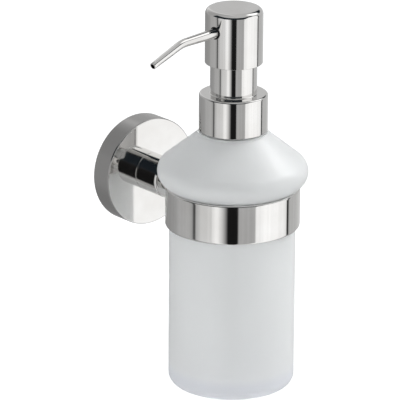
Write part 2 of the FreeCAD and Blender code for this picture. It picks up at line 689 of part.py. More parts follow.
def makeSpoutPath():
    """The spout's middle line: straight out, one bend down, straight to the mouth."""
    path = doc.addObject("Sketcher::SketchObject", "spout_path")
    path.Placement = FreeCAD.Placement(FreeCAD.Vector(), FreeCAD.Rotation(FreeCAD.Vector(1, 0, 0), 90))
    spots = (("spoutInside", "0"), ("spoutRun", "0"), (leaveX, leaveZ), (mouthX, mouthZ))
    start, turn, leave, mouth = (FreeCAD.Vector(size(x), size(z), 0) for x, z in spots)
    sweep = size("spoutSweep")
    bend = math.radians(size("spoutBend"))
    circle = Part.Circle(turn - FreeCAD.Vector(0, sweep, 0), FreeCAD.Vector(0, 0, 1), sweep)
    path.addGeometry(Part.LineSegment(start, turn), False)
    path.addGeometry(Part.ArcOfCircle(circle, math.pi / 2 - bend, math.pi / 2), False)
    path.addGeometry(Part.LineSegment(leave, mouth), False)
    path.addConstraint(Sketcher.Constraint("Coincident", 0, 2, 1, 2))
    path.addConstraint(Sketcher.Constraint("Coincident", 1, 1, 2, 1))
    for (geometry, point), (x, z) in zip(((0, 1), (0, 2), (2, 1), (2, 2)), spots):
        pin(path, geometry, point, x, z)
    rule = path.addConstraint(Sketcher.Constraint("Radius", 1, sweep))
    path.setExpression(f"Constraints[{rule}]", bound("spoutSweep"))
    return path


def sweptRod(name, path, rootRadius, tipRadius):
    """A tapering rod along the spout's path, with a round section at each end."""
    ends = (("root", rootRadius, "spoutInside", "0", "90"), ("tip", tipRadius, mouthX, mouthZ, "90 + spoutBend"))
    rings = []
    for end, radius, x, z, tilt in ends:
        ring = doc.addObject("Part::Circle", f"{name}_{end}")
        ring.setExpression("Radius", bound(radius))
        ring.Placement = FreeCAD.Placement(FreeCAD.Vector(), FreeCAD.Rotation(FreeCAD.Vector(0, 1, 0), 90))
        ring.setExpression("Placement.Base.x", bound(x))
        ring.setExpression("Placement.Base.z", bound(z))
        ring.setExpression("Placement.Rotation.Angle", bound(tilt))
        rings.append(ring)
    rod = doc.addObject("Part::Sweep", name)
    rod.Sections = rings
    rod.Spine = (path, ["Edge1", "Edge2", "Edge3"])
    rod.Solid = True
    rod.Frenet = False
    doc.recompute()
    return rod


def makeSpout():
    path = makeSpoutPath()
    doc.recompute()
    rod = sweptRod("spout_rod", path, "spoutRoot", "spoutTip")
    bore = sweptRod("spout_bore", path, "spoutRoot - spoutWallRoot", "spoutTip - spoutWallTip")
    tube = doc.addObject("Part::Cut", "spout_tube")
    tube.Base = rod
    tube.Tool = bore
    place(tube, y=f"-{reach}", z=spoutHeight, turn="spoutTurn")
    return tube


def makeSeal():
    inner = "spoutRoot + spoutSlack"
    outer = "spoutRoot + spoutSlack + sealWidth"
    end = f"({headRadius} - sealSunk)"
    body = turned("spout_seal", [
        (inner, f"{end} - sealLength"), (outer, f"{end} - sealLength"), (outer, end), (inner, end),
    ], "XY_Plane")
    place(body, y=f"-{reach}", z=spoutHeight, turn="spoutTurn - 90")
    return body


pieces = [
    makeBracket(), makeCover(), makeGrubScrew(), makeBolt(), makePost(), makeNeck(), makeRing(),
    makeBottle(),
    makeCollar(), makeClosureInsert(),
    makeGasket(), makeHousing(), makeGuide(), makeCage(), makeSpring(), makeDipTube(),
    makeBall("inlet_ball", "inletBall", chamberFloor, "seatHole"),
    makePiston(), makeStem(), makeBall("outlet_ball", "outletBall", outletSeat, "stemBore"),
    makeHeadShell(), makeHeadLining(), makeSpout(), makeSeal(),
]
doc.recompute()

for item in doc.Objects:
    if "Invalid" in item.State or "Error" in item.State:
        raise RuntimeError(f"{item.Label} did not recompute")
os.makedirs("parts", exist_ok=True)
for piece in pieces:
    if piece.Shape.isNull() or not piece.Shape.isValid() or len(piece.Shape.Solids) != 1:
        raise RuntimeError(f"{piece.Label} is not one valid solid")
    print(f"{piece.Label}: {piece.Shape.Volume:.1f} mm3")
for piece in pieces:
    piece.Shape.exportStep(f"parts/{piece.Label}.step")
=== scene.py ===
import bpy
import json
import math
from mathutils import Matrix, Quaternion, Vector


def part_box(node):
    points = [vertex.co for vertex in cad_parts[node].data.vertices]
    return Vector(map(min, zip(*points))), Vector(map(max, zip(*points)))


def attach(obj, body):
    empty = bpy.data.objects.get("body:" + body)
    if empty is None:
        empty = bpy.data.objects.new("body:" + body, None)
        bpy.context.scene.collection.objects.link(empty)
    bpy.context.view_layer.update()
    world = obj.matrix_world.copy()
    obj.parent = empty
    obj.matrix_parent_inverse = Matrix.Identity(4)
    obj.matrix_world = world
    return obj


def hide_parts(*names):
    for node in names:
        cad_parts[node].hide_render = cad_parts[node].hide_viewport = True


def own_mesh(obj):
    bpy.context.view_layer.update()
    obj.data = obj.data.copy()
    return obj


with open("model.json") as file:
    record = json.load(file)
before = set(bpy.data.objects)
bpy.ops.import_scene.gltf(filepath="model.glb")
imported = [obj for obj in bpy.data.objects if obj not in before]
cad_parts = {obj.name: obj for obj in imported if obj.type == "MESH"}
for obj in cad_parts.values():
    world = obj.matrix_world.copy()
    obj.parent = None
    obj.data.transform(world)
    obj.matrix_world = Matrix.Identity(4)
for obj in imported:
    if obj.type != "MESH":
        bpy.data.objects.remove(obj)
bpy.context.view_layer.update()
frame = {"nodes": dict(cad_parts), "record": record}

up = Vector((0, 0, 1))
toRoom = Vector((0, -1, 0))
wallAxis = Vector((0, 0, 0))
ringLow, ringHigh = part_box("ring_band")
bottleAxis = Vector(((ringLow.x + ringHigh.x) / 2, (ringLow.y + ringHigh.y) / 2, 0))
# which way the page that a section is drawn on faces, by the axis it is spun round
sectionFace = {"Z": Vector((0, 1, 0)), "Y": Vector((0, 0, 1))}
weldDistance = 2e-6  # vertices nearer than this become one
overshoot = 0.001  # how far outside a piece a drill starts


# drawing and turning

def pickOut(*pieces):
    # select only these, with the last one active
    bpy.ops.object.select_all(action="DESELECT")
    for piece in pieces:
        piece.select_set(True)
    bpy.context.view_layer.objects.active = pieces[-1]


def startEditing(piece):
    pickOut(piece)
    bpy.ops.object.mode_set(mode="EDIT")
    bpy.ops.mesh.select_all(action="SELECT")


def beginPiece(name, spot):
    # a single vertex to draw from
    bpy.ops.object.select_all(action="DESELECT")
    bpy.ops.mesh.primitive_plane_add(size=0.01, location=(0, 0, 0))
    piece = bpy.context.active_object
    piece.name = name
    piece.data.name = name
    startEditing(piece)
    bpy.ops.mesh.merge(type="CENTER")
    bpy.ops.transform.translate(value=spot)
    return piece


def extend(move):
    bpy.ops.mesh.extrude_region_move(TRANSFORM_OT_translate={"value": move})


def turnAbout(angle, axis, centre):
    # right-handed turn of whatever is selected
    bpy.ops.transform.rotate(value=-angle, orient_axis=axis, center_override=centre)


def faceOutwards():
    bpy.ops.mesh.select_all(action="SELECT")
    bpy.ops.mesh.normals_make_consistent(inside=False)
    bpy.ops.object.mode_set(mode="OBJECT")


def turnedPiece(name, outline, axis="Z", centre=bottleAxis, closed=True, steps=192):
    # draw half a section as lines and arcs, and spin it round an axis
    # outline is (across, along) or (across, along, rounding, segments) at each corner
    if axis == "Y":
        spots = [Vector((centre.x + corner[0], corner[1], centre.z)) for corner in outline]
    else:
        spots = [Vector((centre.x + corner[0], centre.y, corner[1])) for corner in outline]
    count = len(spots)
    corners = []
    for number, corner in enumerate(outline):
        spot = spots[number]
        if len(corner) < 3:
            corners.append((spot, spot, None, 0.0, 0))
            continue
        back = (spots[number - 1] - spot).normalized()
        ahead = (spots[(number + 1) % count] - spot).normalized()
        half = back.angle(ahead) / 2
        reach = corner[2] / math.tan(half)
        middle = spot + (back + ahead).normalized() * corner[2] / math.sin(half)
        way = 1 if back.cross(ahead).dot(sectionFace[axis]) > 0 else -1
        sweep = way * (math.pi - 2 * half)
        corners.append((spot + back * reach, spot + ahead * reach, middle, sweep, corner[3]))
    here = corners[0][1]
    piece = beginPiece(name, here)
    for arrive, leave, middle, sweep, segments in corners[1:] + (corners[:1] if closed else []):
        if (arrive - here).length > 1e-9:
            extend(arrive - here)
        if middle is not None:
            bpy.ops.mesh.spin(steps=segments, angle=sweep, center=middle, axis=sectionFace[axis])
        here = leave
    bpy.ops.mesh.select_all(action="SELECT")
    spinAxis = (0, 1, 0) if axis == "Y" else up
    bpy.ops.mesh.spin(steps=steps, angle=2 * math.pi, center=centre, axis=spinAxis)
    bpy.ops.mesh.select_all(action="SELECT")
    bpy.ops.mesh.remove_doubles(threshold=weldDistance)
    faceOutwards()
    return piece


def applyModifiers(piece):
    pickOut(piece)
    for modifier in list(piece.modifiers):
        bpy.ops.object.modifier_apply(modifier=modifier.name)


def drill(piece, spot, direction, radius, length, sides=96, endRadius=None):
    # a hole from spot along direction: round, or with few sides for a hexagon
    bpy.ops.object.select_all(action="DESELECT")
    middle = spot + direction.normalized() * length / 2
    bpy.ops.mesh.primitive_cone_add(vertices=sides, radius1=radius, radius2=endRadius or radius,
                                    depth=length, location=middle)
    drillBit = bpy.context.active_object
    drillBit.rotation_euler = direction.to_track_quat("Z", "Y").to_euler()
    hole = piece.modifiers.new("hole", "BOOLEAN")
    hole.operation = "DIFFERENCE"
    hole.solver = "EXACT"
    hole.object = drillBit
    applyModifiers(piece)
    bpy.data.objects.remove(drillBit)


def settle(piece, body, slot, material, *nodes, angle=38):
    # smooth a piece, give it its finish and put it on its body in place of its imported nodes
    pickOut(piece)
    bpy.ops.object.shade_smooth_by_angle(angle=math.radians(angle))
    evened = piece.modifiers.new("evened", "WEIGHTED_NORMAL")
    evened.keep_sharp = True
    evened.weight = 100  # the largest faces decide
    applyModifiers(piece)
    piece.data.materials.clear()
    piece.data.materials.append(material)
    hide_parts(*nodes)
    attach(piece, body)
    return piece


# materials

def newMaterial(name, metallic=0.0):
    material = bpy.data.materials.new(name)
    material.use_nodes = True
    shader = material.node_tree.nodes["Principled BSDF"]
    shader.inputs["Metallic"].default_value = metallic
    return material, material.node_tree, shader


def noise(tree, scale, detail=3.0, stretch=(1, 1, 1)):
    place = tree.nodes.new("ShaderNodeTexCoord")
    mapping = tree.nodes.new("ShaderNodeMapping")
    mapping.inputs["Scale"].default_value = stretch
    node = tree.nodes.new("ShaderNodeTexNoise")
    node.inputs["Scale"].default_value = scale
    node.inputs["Detail"].default_value = detail
    tree.links.new(place.outputs["Object"], mapping.inputs["Vector"])
    tree.links.new(mapping.outputs["Vector"], node.inputs["Vector"])
    return node.outputs["Fac"]


def spread(tree, value, low, high, start=0.35, end=0.65):
    # a number that goes from low to high as value goes from start to end
    node = tree.nodes.new("ShaderNodeMapRange")
    for socket, number in (("From Min", start), ("From Max", end), ("To Min", low), ("To Max", high)):
        node.inputs[socket].default_value = number
    tree.links.new(value, node.inputs["Value"])
    return node.outputs["Result"]


def shades(tree, value, dark, light, start=0.35, end=0.65):
    ramp = tree.nodes.new("ShaderNodeValToRGB")
    for element, position, colour in zip(ramp.color_ramp.elements, (start, end), (dark, light)):
        element.position = position
        element.color = (*colour, 1)
    tree.links.new(value, ramp.inputs["Fac"])
    return ramp.outputs["Color"]


def compute(tree, operation, *values):
    node = tree.nodes.new("ShaderNodeMath")
    node.operation = operation
    for socket, value in zip(node.inputs, values):
        if isinstance(value, (int, float)):
            socket.default_value = value
        else:
            tree.links.new(value, socket)
    return node.outputs["Value"]


def mixColours(tree, share, first, second):
    node = tree.nodes.new("ShaderNodeMix")
    node.data_type = "RGBA"
    firstColour, secondColour = node.inputs[6], node.inputs[7]
    for socket, value in ((node.inputs["Factor"], share), (firstColour, first), (secondColour, second)):
        if isinstance(value, tuple):
            socket.default_value = value
        else:
            tree.links.new(value, socket)
    return node.outputs[2]


def addBump(tree, shader, height, strength, distance):
    bump = tree.nodes.new("ShaderNodeBump")
    bump.inputs["Strength"].default_value = strength
    bump.inputs["Distance"].default_value = distance
    tree.links.new(height, bump.inputs["Height"])
    tree.links.new(bump.outputs["Normal"], shader.inputs["Normal"])


steelLook = {
    "haze": 60.0, "detail": 4.0, "dark": (0.70, 0.69, 0.675), "light": (0.75, 0.745, 0.735),
    # the rim colour darkens the cover's rim as painted shade
    "smooth": 0.04, "hazy": 0.075, "rimSoft": 0.0003, "rimPaintedShade": (0.41, 0.405, 0.40, 1),
    "rimRough": 0.10, "bump": 0.03, "bumpDepth": 0.00001,
}


def polishedSteel(name, stretch, rim=None):
    # mirror polish: faint lines run round the piece, with a thin haze in places
    # outside the rim's radius from the wall axis, it is rougher, and its colour is darkened there as painted
    # shade
    look = steelLook
    material, tree, shader = newMaterial(name, metallic=1.0)
    haze = noise(tree, look["haze"], look["detail"])
    lines = noise(tree, 1.0, look["detail"], stretch)
    colour = shades(tree, haze, look["dark"], look["light"])
    roughness = spread(tree, haze, look["smooth"], look["hazy"])
    if rim:
        place = tree.nodes.new("ShaderNodeTexCoord")
        flat = tree.nodes.new("ShaderNodeVectorMath")
        flat.operation = "MULTIPLY"
        flat.inputs[1].default_value = (1, 0, 1)
        tree.links.new(place.outputs["Object"], flat.inputs[0])
        reach = tree.nodes.new("ShaderNodeVectorMath")
        reach.operation = "LENGTH"
        tree.links.new(flat.outputs["Vector"], reach.inputs[0])
        outside = spread(tree, reach.outputs["Value"], 0.0, 1.0, rim, rim + look["rimSoft"])
        # painted shade: past the rim's radius the colour is mixed towards the darker rim colour
        colour = mixColours(tree, outside, colour, look["rimPaintedShade"])
        roughness = compute(tree, "MULTIPLY_ADD", outside, look["rimRough"], roughness)
    tree.links.new(colour, shader.inputs["Base Color"])
    tree.links.new(roughness, shader.inputs["Roughness"])
    addBump(tree, shader, lines, look["bump"], look["bumpDepth"])
    return material


turnedLook = {
    "cloud": 150.0, "marks": (400, 400, 2600), "dark": (0.42, 0.42, 0.43), "light": (0.56, 0.56, 0.57),
    "smooth": 0.25, "rough": 0.42, "bump": 0.25, "bumpDepth": 0.00005,
}


def turnedSteel():
    # plain machined steel with tool marks
    look = turnedLook
    material, tree, shader = newMaterial("turnedSteel", metallic=1.0)
    cloud = noise(tree, look["cloud"])
    marks = noise(tree, 1.0, 3.0, look["marks"])
    tree.links.new(shades(tree, cloud, look["dark"], look["light"]), shader.inputs["Base Color"])
    tree.links.new(spread(tree, marks, look["smooth"], look["rough"]), shader.inputs["Roughness"])
    addBump(tree, shader, marks, look["bump"], look["bumpDepth"])
    return material


glassLook = {
    "tooth": 2600.0, "cloud": 45.0, "cloudStretch": (1, 1, 0.5), "dark": (0.93, 0.94, 0.94),
    "light": (0.955, 0.965, 0.965), "base": (0.885, 0.90, 0.935, 1), "baseFrom": -0.084, "baseTo": -0.080,
    "smooth": 0.42, "rough": 0.50, "clarity": 0.55, "bump": 0.12, "bumpDepth": 0.00004,
}


def frostedGlass():
    # etched glass: milky and soft, with the fine tooth of the etch, and bluer in the thick base
    look = glassLook
    material, tree, shader = newMaterial("frostedGlass")
    tooth = noise(tree, look["tooth"], 2.0)
    cloud = noise(tree, look["cloud"], 3.0, look["cloudStretch"])
    clear = shades(tree, cloud, look["dark"], look["light"])
    place = tree.nodes.new("ShaderNodeTexCoord")
    parts = tree.nodes.new("ShaderNodeSeparateXYZ")
    tree.links.new(place.outputs["Object"], parts.inputs["Vector"])
    base = spread(tree, parts.outputs["Z"], 1.0, 0.0, look["baseFrom"], look["baseTo"])
    tree.links.new(mixColours(tree, base, clear, look["base"]), shader.inputs["Base Color"])
    tree.links.new(spread(tree, tooth, look["smooth"], look["rough"]), shader.inputs["Roughness"])
    shader.inputs["Transmission Weight"].default_value = look["clarity"]
    shader.inputs["IOR"].default_value = 1.45
    addBump(tree, shader, tooth, look["bump"], look["bumpDepth"])
    return material


plasticLook = {
    "cloud": 90.0, "grain": 900.0, "dark": (0.80, 0.80, 0.78), "light": (0.87, 0.87, 0.85),
    "smooth": 0.34, "rough": 0.46, "wax": 0.12, "waxDepth": (0.002, 0.002, 0.002),
    "bump": 0.08, "bumpDepth": 0.00004,
}


def whitePlastic():
    # moulded plastic, slightly waxy
    look = plasticLook
    material, tree, shader = newMaterial("whitePlastic")
    cloud = noise(tree, look["cloud"], 2.0)
    grain = noise(tree, look["grain"], 2.0)
    tree.links.new(shades(tree, cloud, look["dark"], look["light"]), shader.inputs["Base Color"])
    tree.links.new(spread(tree, grain, look["smooth"], look["rough"]), shader.inputs["Roughness"])
    shader.inputs["Subsurface Weight"].default_value = look["wax"]
    shader.inputs["Subsurface Radius"].default_value = look["waxDepth"]
    addBump(tree, shader, grain, look["bump"], look["bumpDepth"])
    return material


rubberLook = {
    "grain": 1400.0, "dark": (0.012, 0.012, 0.014), "light": (0.03, 0.03, 0.033),
    "smooth": 0.5, "rough": 0.66, "bump": 0.2, "bumpDepth": 0.00005,
}


def darkRubber():
    look = rubberLook
    material, tree, shader = newMaterial("darkRubber")
    grain = noise(tree, look["grain"], 2.0)
    tree.links.new(shades(tree, grain, look["dark"], look["light"]), shader.inputs["Base Color"])
    tree.links.new(spread(tree, grain, look["smooth"], look["rough"]), shader.inputs["Roughness"])
    addBump(tree, shader, grain, look["bump"], look["bumpDepth"])
    return material


# the lines of the polish are squeezed along each piece's own axis
uprightSteel = polishedSteel("uprightSteel", (30, 30, 2500))
wallSteel = polishedSteel("wallSteel", (30, 2500, 30))
# the cover's rim is painted darker here, as painted shade
coverSteel = polishedSteel("coverSteel", (30, 2500, 30), rim=0.0266)
plainSteel = turnedSteel()
bottleGlass = frostedGlass()
pumpPlastic = whitePlastic()
# this rubber is real on the gasket, and is painted shade as the black ring at the spout's root
gasketRubberAndShadeRing = darkRubber()

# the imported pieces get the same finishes: of these, only the two valve balls are kept
finishes = {"polished_steel": uprightSteel, "plain_steel": plainSteel, "frosted_glass": bottleGlass,
            "white_plastic": pumpPlastic, "dark_rubber": gasketRubberAndShadeRing}
for subpart in frame["record"]["subparts"]:
    for materialSlot in frame["nodes"][subpart["node"]].material_slots:
        materialSlot.material = finishes[subpart["material_slot"]]
print("materials ready")


# holder: the cover, arm and ring, and the bracket and screws that they hide

coverShape = {
    "rim": 0.0024, "face": 0.0025, "edge": 0.0007, "backEdge": 0.0003, "innerEdge": 0.0005,
    "facePolish": 0.65, "hole": 0.0026, "screwSlack": 0.00008, "screwDepth": 0.006,
}


def makeCover():
    shape = coverShape
    low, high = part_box("rosette_cover")
    radius = (high.x - low.x) / 2
    bore = radius - shape["rim"]
    inside = low.y + shape["face"]
    piece = turnedPiece("rosetteCover", [
        (bore, high.y, shape["backEdge"], 3), (radius, high.y, shape["backEdge"], 3),
        (radius, low.y / 2), (radius, low.y, shape["edge"], 8), (radius * shape["facePolish"], low.y),
        (shape["hole"], low.y), (shape["hole"], inside), (bore, inside, shape["innerEdge"], 4),
    ], axis="Y", centre=wallAxis, steps=256)
    screwLow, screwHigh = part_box("grub_screw")
    screwSpot = Vector((0, (screwLow.y + screwHigh.y) / 2, low.z - overshoot))
    screwHole = (screwHigh.y - screwLow.y) / 2 + shape["screwSlack"]
    drill(piece, screwSpot, up, screwHole, shape["screwDepth"])
    return settle(piece, "holder", "polished_steel", coverSteel, "rosette_cover")


postShape = {"edge": 0.0015, "hole": 0.0026, "foot": 0.0003}


def makePost():
    shape = postShape
    low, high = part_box("arm_post")
    radius = (high.x - low.x) / 2
    piece = turnedPiece("armPost", [
        (shape["hole"], high.y), (radius, high.y, shape["foot"], 3), (radius, (low.y + high.y) / 2),
        (radius, low.y, shape["edge"], 12), (shape["hole"], low.y),
    ], axis="Y", centre=wallAxis, steps=160)
    return settle(piece, "holder", "polished_steel", wallSteel, "arm_post")


neckShape = {
    "inPost": 0.002, "slit": 0.0008, "slitDepth": 0.0004, "slitRound": 0.0002,
    "flare": 0.0006, "flareLength": 0.0014, "flareRound": 0.0012, "inRing": 0.0004,
}


def makeNeck():
    # a slit where it leaves the post, and a small flare where it meets the ring
    shape = neckShape
    low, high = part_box("arm_neck")
    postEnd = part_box("arm_post")[0].y
    radius = (high.x - low.x) / 2
    end = bottleAxis.y + (ringHigh.y - ringLow.y) / 2 - shape["inRing"]
    piece = turnedPiece("armNeck", [
        (0, postEnd + shape["inPost"]), (radius - shape["slitDepth"], postEnd + shape["inPost"]),
        (radius - shape["slitDepth"], postEnd - shape["slit"] / 2),
        (radius, postEnd - shape["slit"], shape["slitRound"], 3),
        (radius, end + shape["flareLength"], shape["flareRound"], 6), (radius + shape["flare"], end),
        (0, end),
    ], axis="Y", centre=wallAxis, closed=False, steps=128)
    return settle(piece, "holder", "polished_steel", wallSteel, "arm_neck")


ringShape = {"wall": 0.0016, "edge": 0.0011, "innerEdge": 0.0003}


def makeRing():
    shape = ringShape
    radius = (ringHigh.x - ringLow.x) / 2
    bore = radius - shape["wall"]
    piece = turnedPiece("ringBand", [
        (bore, ringLow.z, shape["innerEdge"], 4), (radius, ringLow.z, shape["edge"], 10), (radius, 0),
        (radius, ringHigh.z, shape["edge"], 10), (bore, ringHigh.z, shape["innerEdge"], 4), (bore, 0),
    ], steps=256)
    return settle(piece, "holder", "polished_steel", uprightSteel, "ring_band")


bracketShape = {
    "bore": 0.0075, "edge": 0.0003, "groove": 0.0042, "depth": 0.0017, "floor": 0.0006, "mouth": 0.0023,
    "spacing": 0.030, "hole": 0.0023, "holeLength": 0.012, "sink": 0.0046, "sinkSlack": 0.0001,
}


def makeBracket():
    # a groove round the disc for the grub screw, and two countersunk holes for the wall screws
    shape = bracketShape
    low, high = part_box("wall_bracket")
    radius = (high.x - low.x) / 2
    bore, edge, groove = shape["bore"], shape["edge"], shape["groove"]
    inner = radius - shape["depth"]
    piece = turnedPiece("wallBracket", [
        (bore, high.y, edge, 3), (radius, high.y, edge, 3), (radius, shape["mouth"] - groove),
        (inner, shape["floor"] - groove), (inner, -shape["floor"] - groove),
        (radius, -shape["mouth"] - groove), (radius, low.y, edge, 3), (bore, low.y, edge, 3),
    ], axis="Y", centre=wallAxis, steps=192)
    sinkDepth = shape["sink"] - shape["hole"]
    for side in (-1, 1):
        centre = Vector((side * shape["spacing"] / 2, 0, 0))
        drill(piece, centre + Vector((0, overshoot, 0)), toRoom, shape["hole"], shape["holeLength"])
        sinkSpot = centre + Vector((0, low.y + shape["sink"] - shape["hole"], 0))
        drill(piece, sinkSpot, toRoom, shape["hole"], sinkDepth + shape["sinkSlack"],
              endRadius=shape["sink"] + shape["sinkSlack"])
    return settle(piece, "holder", "plain_steel", plainSteel, "wall_bracket")


grubShape = {"tip": 0.0004, "cone": 0.0017, "edge": 0.0002, "socket": 0.00115, "socketDepth": 0.0016}


def makeGrubScrew():
    shape = grubShape
    low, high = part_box("grub_screw")
    radius = (high.x - low.x) / 2
    centre = Vector(((low.x + high.x) / 2, (low.y + high.y) / 2, 0))
    piece = turnedPiece("grubScrew", [
        (0, high.z), (shape["tip"], high.z), (radius, high.z - shape["cone"]),
        (radius, low.z, shape["edge"], 3), (0, low.z),
    ], centre=centre, closed=False, steps=48)
    drill(piece, centre + up * (low.z - overshoot), up, shape["socket"], shape["socketDepth"] + overshoot,
          sides=6)
    return settle(piece, "holder", "plain_steel", plainSteel, "grub_screw")


boltShape = {
    "headHeight": 0.00275, "crown": 0.0014, "underHead": 0.0001, "shank": 0.00245, "end": 0.0005,
    "socket": 0.00173, "socketDepth": 0.0016,
}


def makeBolt():
    shape = boltShape
    low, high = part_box("arm_bolt")
    radius = (high.x - low.x) / 2
    under = high.y - shape["headHeight"]
    piece = turnedPiece("armBolt", [
        (0, high.y), (radius, high.y, shape["crown"], 8), (radius, under, shape["underHead"], 2),
        (shape["shank"], under), (shape["shank"], low.y, shape["end"], 3), (0, low.y),
    ], axis="Y", centre=wallAxis, closed=False, steps=64)
    drill(piece, Vector((0, high.y + overshoot, 0)), toRoom, shape["socket"],
          shape["socketDepth"] + overshoot, sides=6)
    return settle(piece, "holder", "plain_steel", plainSteel, "arm_bolt")


for make in (makeBracket, makeGrubScrew, makeBolt, makeCover, makePost, makeNeck, makeRing):
    make()
print("holder ready")


# bottle

bottleShape = {
    "body": 0.0307, "corner": 0.0055, "wall": 0.003, "floor": 0.0085, "floorCorner": 0.0045,
    "sideRing": 0.05, "seatGap": 0.00005, "seatRound": 0.0003,
    "shoulderOut": 0.0142, "shoulderUp": 0.0041, "shoulderRound": 0.0074,
    "cornerAcross": 2.12, "cornerUp": 0.43, "seatUp": 0.75, "seatInside": 0.0015,
    "top": 0.017, "flare": 0.0008, "flareRound": 0.0008, "topRound": 0.0003,
    "neck": 0.0126, "neckHeight": 0.0148, "neckRound": 0.0006, "lip": 0.0007,
    "bore": 0.0102, "lead": 0.0016, "leadRound": 0.002,
    "kick": 0.0012, "kickIn": 0.003, "kickRound": 0.004, "footRing": 0.0225, "footRound": 0.002,
}
threadShape = {
    "depth": 0.0011, "sunk": 0.0003, "width": 0.0018, "pitch": 0.0042, "start": 0.0054,
    "turns": 1.2, "steps": 72, "runIn": 8,
}


def makeThread(neckFoot):
    # one raised ribbon that climbs round the neck and sinks into it at both ends
    shape = threadShape
    root = bottleShape["neck"] - shape["sunk"]
    rise = shape["depth"] + shape["sunk"]
    start = bottleAxis + Vector((root, 0, neckFoot + shape["start"]))
    piece = beginPiece("thread", start)
    for move in ((rise, 0, shape["width"] / 3), (0, 0, shape["width"] / 3), (-rise, 0, shape["width"] / 3)):
        extend(move)
    bpy.ops.mesh.select_all(action="SELECT")
    bpy.ops.mesh.edge_face_add()
    bpy.ops.mesh.select_all(action="SELECT")
    steps, runIn = shape["steps"], shape["runIn"]
    turn = 2 * math.pi * shape["turns"] / steps
    lift = shape["pitch"] * shape["turns"] / steps
    angle = 0.0
    spot = start.copy()
    spot.z += shape["width"] / 2
    bulk = [min(1.0, (step + 1) / runIn, (steps + 1 - step) / runIn) for step in range(steps + 1)]
    bpy.ops.transform.resize(value=(bulk[0],) * 3, center_override=spot)
    for step in range(steps):
        extend((0, 0, lift))
        turnAbout(turn, "Z", bottleAxis)
        angle += turn
        spot = bottleAxis + Vector((root * math.cos(angle), root * math.sin(angle), spot.z + lift))
        size = bulk[step + 1] / bulk[step]
        bpy.ops.transform.resize(value=(size, size, size), center_override=spot)
    faceOutwards()
    return piece


def makeBottle():
    # the outside from the middle of the foot up to the mouth, then the inside back down
    shape = bottleShape
    low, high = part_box("glass_bottle")
    foot, top = low.z, high.z
    neckFoot = top - shape["neckHeight"]
    seat = ringHigh.z + shape["seatGap"]
    body, wall = shape["body"], shape["wall"]
    inner = body - wall
    tip = body + shape["shoulderOut"]
    tipHeight = ringHigh.z + shape["shoulderUp"]
    cornerAcross = tip - wall * shape["cornerAcross"]
    cornerHeight = tipHeight + wall * shape["cornerUp"]
    piece = turnedPiece("glassBottle", [
        (0, foot + shape["kick"]),
        (shape["footRing"] - shape["kickIn"], foot + shape["kick"], shape["kickRound"], 5),
        (shape["footRing"], foot, shape["footRound"], 5), (body, foot, shape["corner"], 14),
        (body, seat - shape["sideRing"]), (body, seat, shape["seatRound"], 3),
        (tip, tipHeight, shape["shoulderRound"], 40),
        (shape["top"], neckFoot - shape["flare"], shape["flareRound"], 5),
        (shape["top"], neckFoot, shape["topRound"], 4), (shape["neck"], neckFoot, shape["neckRound"], 4),
        (shape["neck"], top, shape["lip"], 5), (shape["bore"], top, shape["lip"], 5),
        (shape["bore"], neckFoot - shape["lead"], shape["leadRound"], 6),
        (cornerAcross, cornerHeight, shape["shoulderRound"] - wall, 16),
        (inner, seat + wall * shape["seatUp"], shape["seatInside"], 4),
        (inner, foot + shape["floor"], shape["floorCorner"], 8), (0, foot + shape["floor"]),
    ], closed=False, steps=224)
    pickOut(makeThread(neckFoot), piece)
    bpy.ops.object.join()
    return settle(piece, "bottle", "frosted_glass", bottleGlass, "glass_bottle")


glassBottle = makeBottle()
print("bottle ready")


# pump, from the gasket on the bottle's mouth down to the dip tube

gasketShape = {"inner": 0.0104, "round": 0.0003}


def makeGasket():
    low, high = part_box("neck_gasket")
    radius, inner, soft = (high.x - low.x) / 2, gasketShape["inner"], gasketShape["round"]
    piece = turnedPiece("neckGasket", [
        (inner, low.z, soft, 3), (radius, low.z, soft, 3), (radius, high.z, soft, 3),
        (inner, high.z, soft, 3),
    ], steps=96)
    return settle(piece, "pump", "dark_rubber", gasketRubberAndShadeRing, "neck_gasket")


housingShape = {
    "bore": 0.006, "hub": 0.008, "flangeTop": 0.0044, "flange": 0.0012, "barrel": 0.0074, "nozzle": 0.0044,
    "taperTop": 0.0135, "taperFoot": 0.0095, "taperRound": 0.0008, "tubeStop": 0.008, "socket": 0.00305,
    "seat": 0.0017, "seatTop": 0.010, "chamber": 0.003, "floor": 0.0155,
    "edge": 0.0003, "hubEdge": 0.0004, "fillet": 0.0004, "flangeEdge": 0.0002,
    "bead": 0.00022, "beadFoot": 0.0005, "beadTop": 0.0002, "beadRound": 0.0001,
    "beads": (0.046, 0.0445, 0.0185),
}


